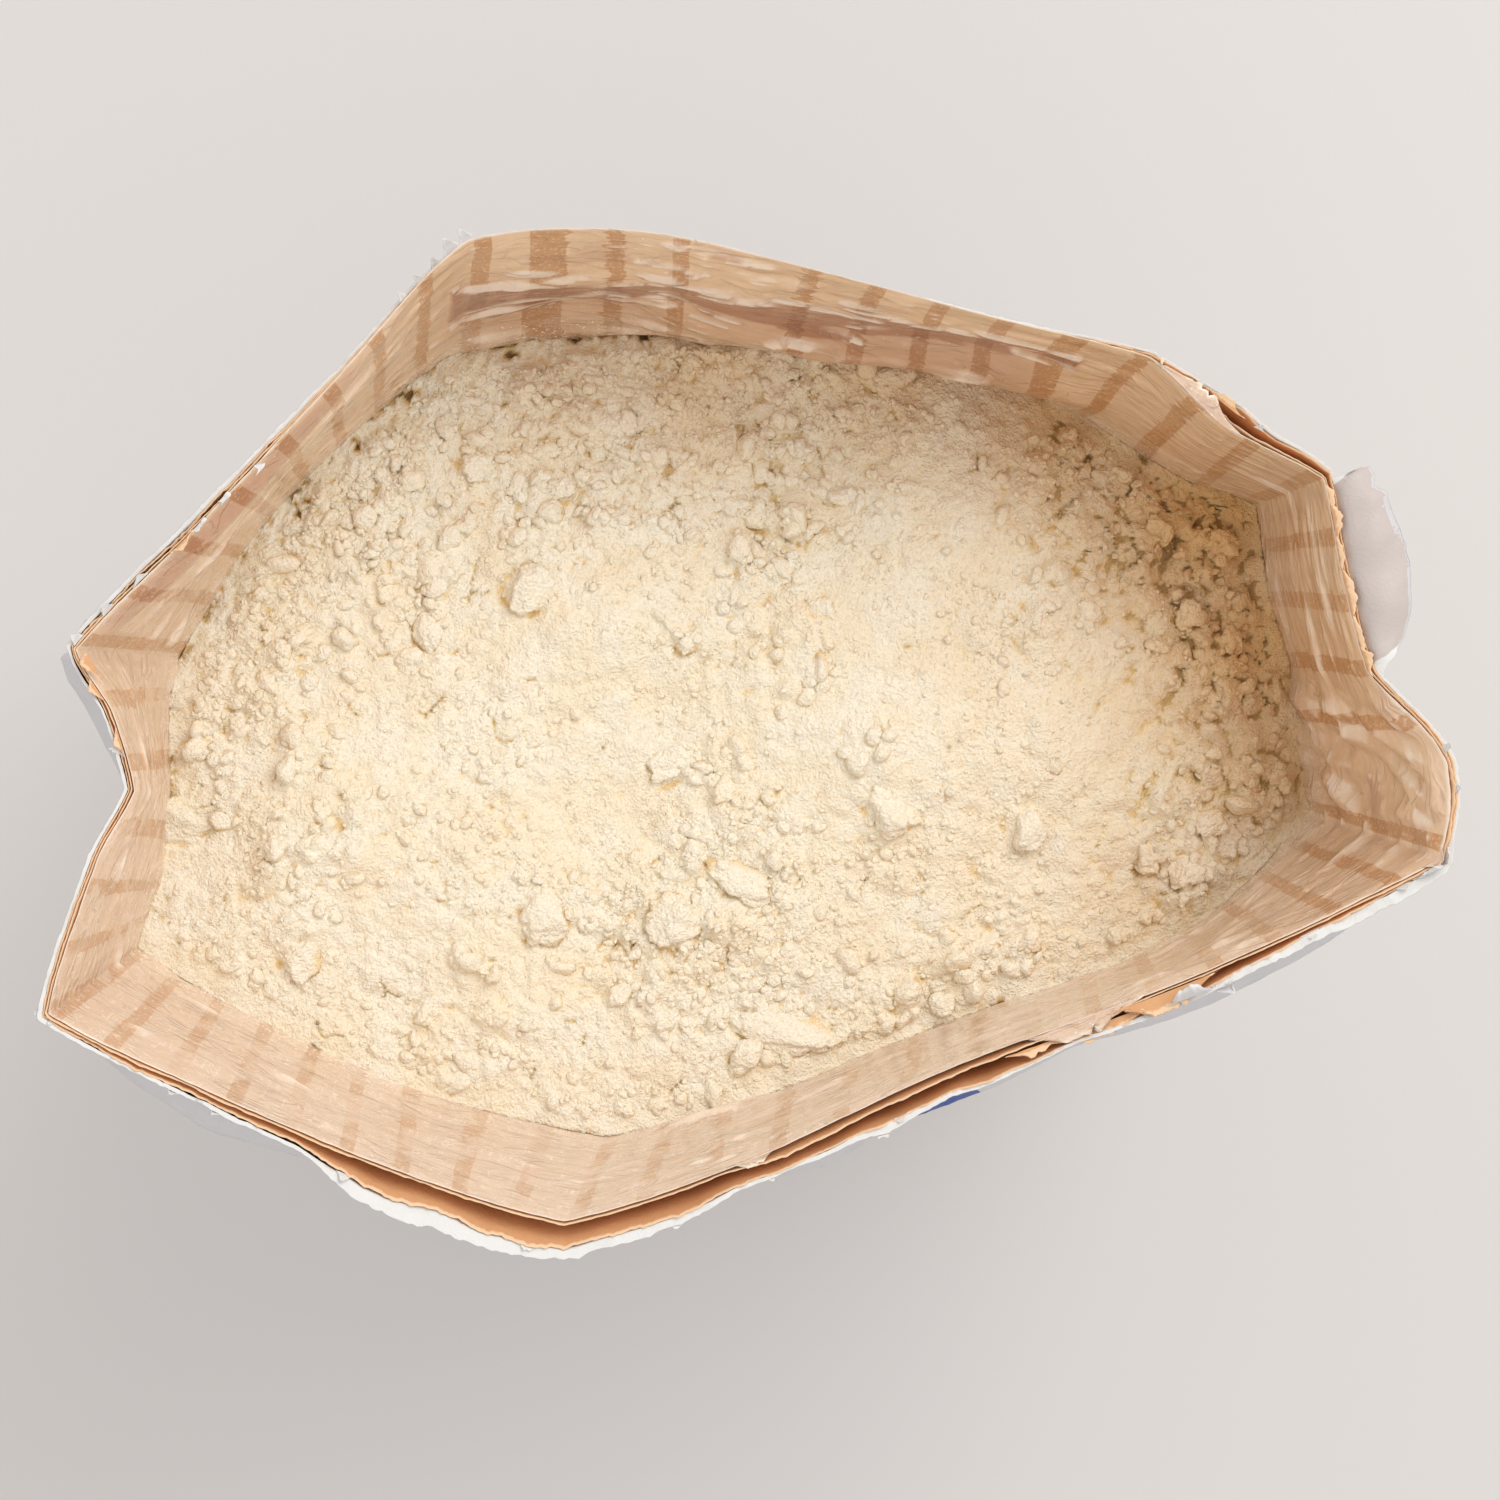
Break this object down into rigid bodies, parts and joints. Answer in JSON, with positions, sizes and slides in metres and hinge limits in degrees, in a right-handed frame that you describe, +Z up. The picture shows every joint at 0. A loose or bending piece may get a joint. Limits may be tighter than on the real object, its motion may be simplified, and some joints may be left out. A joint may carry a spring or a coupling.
{
  "type": "pack of donut mix",
  "caption": "Tall gusseted multiwall paper sack, torn open along its top, with its plies and film liner spread apart at the mouth and filled with a crumbly cream-coloured dry mix.",
  "frame": {"origin": "middle of the footprint's bounding box, on the floor", "axes": "+Z up out of the sack's mouth; the wide front panel faces -Y and the wide back panel +Y; the gusseted ends face -X and +X"},
  "size_m": [0.385, 0.2762, 0.5778],
  "materials": {
    "liner": "clear glossy film laid on brown kraft paper, finely wrinkled",
    "kraft": "matte brown kraft paper",
    "outer_paper": "bleached white paper, slightly smooth",
    "mix": "dry crumbly powder, matte"
  },
  "bodies": {
    "root": {"film_liner": "liner", "kraft_ply_inner": "kraft", "kraft_ply_middle": "kraft", "white_ply_outer": "outer_paper", "donut_mix": "mix"}
  },
  "joints": []
}
